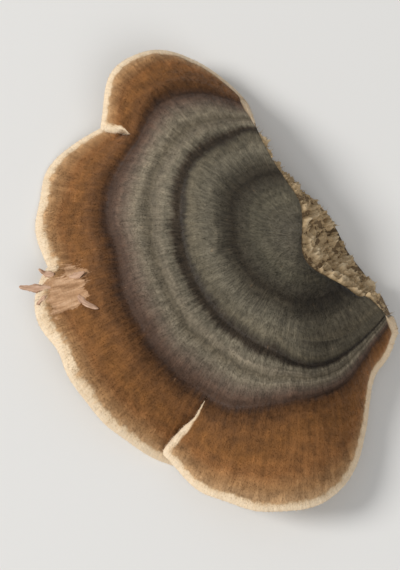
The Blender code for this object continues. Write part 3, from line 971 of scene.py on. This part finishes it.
def make_scar_fibres(front, outward, material):
    """Torn fibres that stand out of the broken flesh."""
    rng = np.random.default_rng(97)
    column = rng.integers(6, front.shape[0] - 6, FIBRES.count)
    row = rng.integers(3, front.shape[1] - 3, FIBRES.count)
    stray = FIBRES.stray * rng.standard_normal((FIBRES.count, 3))
    heading = unit(outward[column, row] * 0.6 + stray)
    roots = front[column, row] - heading * FIBRES.root * MM
    tips = roots + heading * rng.uniform(*FIBRES.length, (FIBRES.count, 1)) * MM
    tips[:, 2] = np.maximum(tips[:, 2], 0.02 * MM)
    roots[:, 2] = np.maximum(roots[:, 2], 0.06 * MM)
    widths = rng.uniform(*FIBRES.width, FIBRES.count) * MM
    tones = rng.uniform(0.5, 1.0, FIBRES.count)
    make_needles("scar_fibres", roots, tips, widths, material, flow=roots / MM, crumb=tones)


# Materials


def linear(code):
    """A colour as it is seen, turned into the linear numbers that shaders take."""
    seen = [int(code[at : at + 2], 16) / 255.0 for at in (1, 3, 5)]
    return tuple(c / 12.92 if c < 0.04045 else ((c + 0.055) / 1.055) ** 2.4 for c in seen) + (1.0,)


class Paint:
    """A material under construction, with short ways to add the nodes that these materials share."""

    def __init__(self, name, roughness):
        self.material = bpy.data.materials.new(name)
        self.material.use_nodes = True
        self.nodes = self.material.node_tree.nodes
        self.links = self.material.node_tree.links
        self.shader = self.nodes["Principled BSDF"]
        self.shader.inputs["Roughness"].default_value = roughness
        self.shader.inputs["Specular IOR Level"].default_value = 0.25

    def fill(self, socket, value):
        """Sets a socket to a value, or links it to an output."""
        if isinstance(value, bpy.types.NodeSocket):
            self.links.new(value, socket)
        else:
            socket.default_value = value

    def add(self, kind, inputs, output=0, **settings):
        """Adds a node with its settings and inputs, and gives one of its outputs."""
        node = self.nodes.new("ShaderNode" + kind)
        for name, value in settings.items():
            setattr(node, name, value)
        for socket, value in inputs.items():
            self.fill(node.inputs[socket], value)
        return node.outputs[output]

    def attribute(self, name, output="Fac"):
        return self.add("Attribute", {}, output, attribute_name=name)

    def math(self, operation, first, second, clamp=False):
        return self.add("Math", {0: first, 1: second}, operation=operation, use_clamp=clamp)

    def mix(self, factor, first, second, blend="MIX"):
        inputs = {"Factor": factor, "A": first, "B": second}
        return self.add("Mix", inputs, "Result", data_type="RGBA", blend_type=blend)

    def across(self, start, end):
        """0 up to one place across the growth, and 1 from another."""
        place = self.add("SeparateXYZ", {0: self.attribute("flow", "Vector")}, "X")
        return self.math("DIVIDE", self.math("SUBTRACT", place, start), end - start, clamp=True)

    def grain(self, scale, detail, seed):
        """Noise from 0 to 1, with its scales across the growth, along it, and from ring to ring."""
        inputs = {0: self.attribute("flow", "Vector"), 1: scale, 2: (seed, 2.3 * seed, seed)}
        place = self.add("VectorMath", inputs, operation="MULTIPLY_ADD")
        return self.add("TexNoise", {"Scale": 1.0, "Detail": detail, "Vector": place}, "Fac")

    def ramp(self, position, stops):
        node = self.nodes.new("ShaderNodeValToRGB")
        elements = node.color_ramp.elements
        while len(elements) < len(stops):
            elements.new(0.5)
        for element, (place, code) in zip(elements, stops):
            element.position = place
            element.color = linear(code) if isinstance(code, str) else (code, code, code, 1.0)
        self.fill(node.inputs["Fac"], position)
        return node.outputs["Color"]

    def bump(self, height, distance):
        inputs = {"Strength": 1.0, "Distance": distance, "Height": height}
        self.links.new(self.add("Bump", inputs, "Normal"), self.shader.inputs["Normal"])

    def roughness(self, output):
        self.links.new(output, self.shader.inputs["Roughness"])

    def colour(self, output):
        self.links.new(output, self.shader.inputs["Base Color"])


def zoned_colour(paint):
    """The zones with fine rings, streaks and mottling, the cream margin and the torn patch."""
    streaks = paint.grain((5.5, 0.55, 0.0), detail=4.0, seed=3.0)
    silk = paint.grain((16.0, 0.9, 0.0), detail=2.0, seed=8.0)
    mottling = paint.grain((1.9, 1.7, 0.0), detail=4.0, seed=11.0)
    rings = paint.grain((0.10, 0.0, 3.4), detail=3.0, seed=14.0)
    shift = 0.036
    place = paint.math("ADD", paint.attribute("ring"), paint.math("MULTIPLY", streaks, shift))
    place = paint.math("SUBTRACT", place, 0.5 * shift)
    colour = paint.ramp(place, ZONES)
    inner = paint.ramp(place, ((0.66, 1.0), (0.76, 0.30)))
    shades = ((streaks, 0.20, 0.8), (silk, 0.16, inner), (mottling, 0.26, 1.0), (rings, 0.22, inner))
    for height, contrast, where in shades:
        shade = paint.ramp(height, ((0.30, 1.0 - contrast), (0.50, 1.0), (0.70, 1.0 + contrast)))
        colour = paint.mix(where, colour, shade, "MULTIPLY")
    # Darker towards the last end of the base: partly the zones' own colour, partly painted shade
    darkening_and_shade = paint.math("MULTIPLY", paint.across(*DARKENING_AND_SHADE_ACROSS), paint.ramp(place, DARKENING_AND_SHADE_ZONES))
    colour = paint.mix(darkening_and_shade, colour, DARKENING_AND_SHADE_COLOUR, "MULTIPLY")

    ragged = paint.math("ADD", streaks, paint.math("MULTIPLY", mottling, 1.3))
    edge = paint.math("ADD", paint.attribute("edge"), paint.math("SUBTRACT", ragged, 1.15))
    silky = paint.ramp(silk, ((0.3, 0.80), (0.7, 1.12)))
    cream = paint.mix(0.5, paint.ramp(edge, CREAM_LINE), silky, "MULTIPLY")
    colour = paint.mix(paint.ramp(edge, ((0.60, 1.0), (1.25, 0.0))), colour, cream)
    rub = paint.math("ADD", paint.math("MULTIPLY", silk, 1.3), paint.math("MULTIPLY", mottling, 1.3))
    torn = paint.math("ADD", paint.attribute("torn"), paint.math("SUBTRACT", rub, 1.3))
    bared = paint.ramp(torn, ((0.42, 0.0), (0.66, 1.0)))
    return paint.mix(bared, colour, paint.ramp(streaks, TORN_COLOURS))


def skin_material():
    paint = Paint("zoned_skin", 0.72)
    paint.colour(zoned_colour(paint))
    paint.roughness(paint.ramp(paint.attribute("ring"), SATIN))
    paint.shader.inputs["Sheen Weight"].default_value = 0.10
    paint.shader.inputs["Sheen Roughness"].default_value = 0.5
    threads = paint.grain((14.0, 2.0, 0.0), detail=3.0, seed=5.0)
    grit = paint.grain((9.0, 8.0, 0.0), detail=3.0, seed=7.0)
    paint.bump(paint.math("ADD", threads, grit), 0.035 * MM)
    return paint.material


def felt_material():
    """The hairs: the zone's colour, with each hair a little lighter or darker."""
    paint = Paint("felt", 0.85)
    colour = zoned_colour(paint)
    tuft = paint.ramp(paint.attribute("tuft"), ((0.0, 0.62), (0.5, 1.05), (1.0, 1.55)))
    paint.colour(paint.mix(1.0, colour, tuft, "MULTIPLY"))
    return paint.material


def pored_material():
    paint = Paint("pored_underside", 0.9)
    cloudy = paint.grain((0.5, 0.6, 0.0), detail=3.0, seed=17.0)
    # Darker towards each pore's middle: painted shade in the pore holes
    colour = paint.ramp(paint.attribute("pit"), PORE_COLOURS_AND_SHADE)
    colour = paint.mix(0.6, colour, paint.ramp(cloudy, ((0.3, 0.80), (0.7, 1.12))), "MULTIPLY")
    strip = paint.ramp(paint.attribute("edge"), ((0.7, 1.0), (1.0, 0.0)))
    paint.colour(paint.mix(strip, colour, linear(BARREN_COLOUR)))
    paint.bump(paint.grain((9.0, 9.0, 0.0), detail=3.0, seed=19.0), 0.02 * MM)
    return paint.material


def scar_material():
    paint = Paint("scar_flesh", 0.95)
    rough = paint.grain((3.2, 2.6, 0.0), detail=4.0, seed=23.0)
    fibrous = paint.grain((9.0, 1.5, 0.0), detail=3.0, seed=29.0)
    # Colour by the crumbs' height, with random tone: painted shade in the crevices and along the border
    height = paint.math("MULTIPLY", paint.attribute("crumb"), 0.75)
    height = paint.math("ADD", height, paint.math("MULTIPLY", rough, 0.35))
    colour = paint.ramp(height, SCAR_COLOURS_AND_SHADE)
    colour = paint.mix(0.7, colour, paint.ramp(fibrous, ((0.3, 0.72), (0.7, 1.15))), "MULTIPLY")
    paint.colour(colour)
    paint.roughness(paint.ramp(rough, ((0.3, 1.0), (0.7, 0.8))))
    paint.bump(paint.math("ADD", rough, fibrous), 0.05 * MM)
    return paint.material


def shred_material():
    paint = Paint("torn_skin", 0.8)
    fibrous = paint.grain((11.0, 1.4, 0.0), detail=3.0, seed=37.0)
    paint.colour(paint.ramp(fibrous, SHRED_COLOURS))
    paint.bump(fibrous, 0.04 * MM)
    return paint.material


def floor_material():
    paint = Paint("floor", 0.9)
    paint.shader.inputs["Base Color"].default_value = linear(FLOOR_COLOUR)
    return paint.material


# Stage and camera


def looking_back(azimuth, elevation):
    """Unit vector from the part towards a viewer at these angles."""
    turn, rise = math.radians(azimuth), math.radians(elevation)
    return Vector((math.sin(turn) * math.cos(rise), -math.cos(turn) * math.cos(rise), math.sin(rise)))


def add_object(name, data, target, azimuth, elevation, distance):
    """Places a lamp or a camera round a target and turns it there."""
    thing = bpy.data.objects.new(name, data)
    bpy.context.scene.collection.objects.link(thing)
    back = looking_back(azimuth, elevation)
    thing.location = Vector(target) + back * distance
    thing.rotation_mode = "QUATERNION"
    thing.rotation_quaternion = back.to_track_quat("Z", "Y")
    return thing


def make_stage():
    """A plain pale floor, soft lights and a pale world."""
    half = FLOOR_HALF
    corners = [(-half, -half, 0), (half, -half, 0), (half, half, 0), (-half, half, 0)]
    floor = make_mesh("floor", corners, [(0, 1, 2, 3)])
    floor.data.materials.append(floor_material())
    for light in LIGHTS:
        data = bpy.data.lights.new(light.name, "AREA")
        data.shape, data.size, data.energy = "DISK", light.size, light.energy
        add_object(light.name, data, (0.0, 0.0, 0.0), *light.place)

    world = bpy.data.worlds.new("pale")
    bpy.context.scene.world = world
    world.use_nodes = True
    background = world.node_tree.nodes["Background"]
    background.inputs["Color"].default_value = WORLD_COLOUR
    background.inputs["Strength"].default_value = WORLD_STRENGTH


def make_camera():
    """Looks down on the bracket as the photograph does."""
    data = bpy.data.cameras.new("camera")
    data.lens = CAMERA_LENS
    data.clip_start, data.clip_end = CAMERA_CLIP
    bpy.context.scene.camera = add_object("camera", data, CAMERA_TARGET, *CAMERA_PLACE)


def main():
    bpy.context.scene.view_settings.view_transform = "Standard"
    make_camera()
    make_stage()
    sheet = lay_sheet()
    skin, scar, felt = skin_material(), scar_material(), felt_material()
    make_fan(sheet, skin, pored_material(), scar)
    make_felt("inner_felt", sheet, lambda ring: ring < FELTS_MEET_AT, 101, felt)
    make_felt("outer_felt", sheet, lambda ring: ring >= FELTS_MEET_AT, 103, felt)
    make_fuzz(sheet, felt)
    front, outward = make_crust(sheet, scar)
    make_scar_fibres(front, outward, scar)
    make_shreds(sheet, shred_material())


main()
